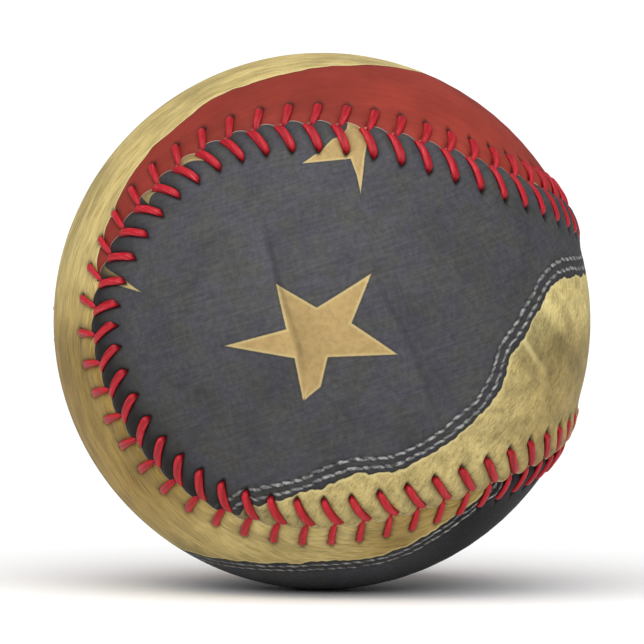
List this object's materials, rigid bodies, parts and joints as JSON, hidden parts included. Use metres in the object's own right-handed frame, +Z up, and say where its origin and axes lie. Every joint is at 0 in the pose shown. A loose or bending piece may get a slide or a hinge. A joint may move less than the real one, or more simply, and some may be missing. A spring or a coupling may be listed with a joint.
{
  "type": "baseball",
  "caption": "Laced baseball: cushioned cork pill, yarn windings and a two-piece leather cover with a stars and stripes print, laced with red thread along one curved seam.",
  "frame": {"origin": "centre of the ball", "axes": "+Z up as pictured, -Y towards the front lobe of the right cover panel, +X through the waist of that panel and -X through the waist of the left one"},
  "size_m": [0.0744, 0.0744, 0.0744],
  "materials": {
    "cork": "matte moulded cork and rubber",
    "black_rubber": "matte",
    "red_rubber": "matte",
    "grey_wool": "wound yarn",
    "white_wool": "wound yarn",
    "cotton": "wound yarn",
    "cement": "dried latex film",
    "navy_leather": "printed, satin",
    "striped_leather": "printed, satin",
    "red_thread": "waxed"
  },
  "bodies": {
    "root": {"cork_core": "cork", "upper_black_shell": "black_rubber", "lower_black_shell": "black_rubber", "black_shell_gasket": "red_rubber", "left_red_shell": "red_rubber", "right_red_shell": "red_rubber", "coarse_grey_wool": "grey_wool", "white_wool": "white_wool", "fine_grey_wool": "grey_wool", "cotton_winding": "cotton", "cement_coat": "cement", "right_cover_panel": "navy_leather", "left_cover_panel": "striped_leather", "first_lacing_strand": "red_thread", "second_lacing_strand": "red_thread"}
  },
  "joints": []
}
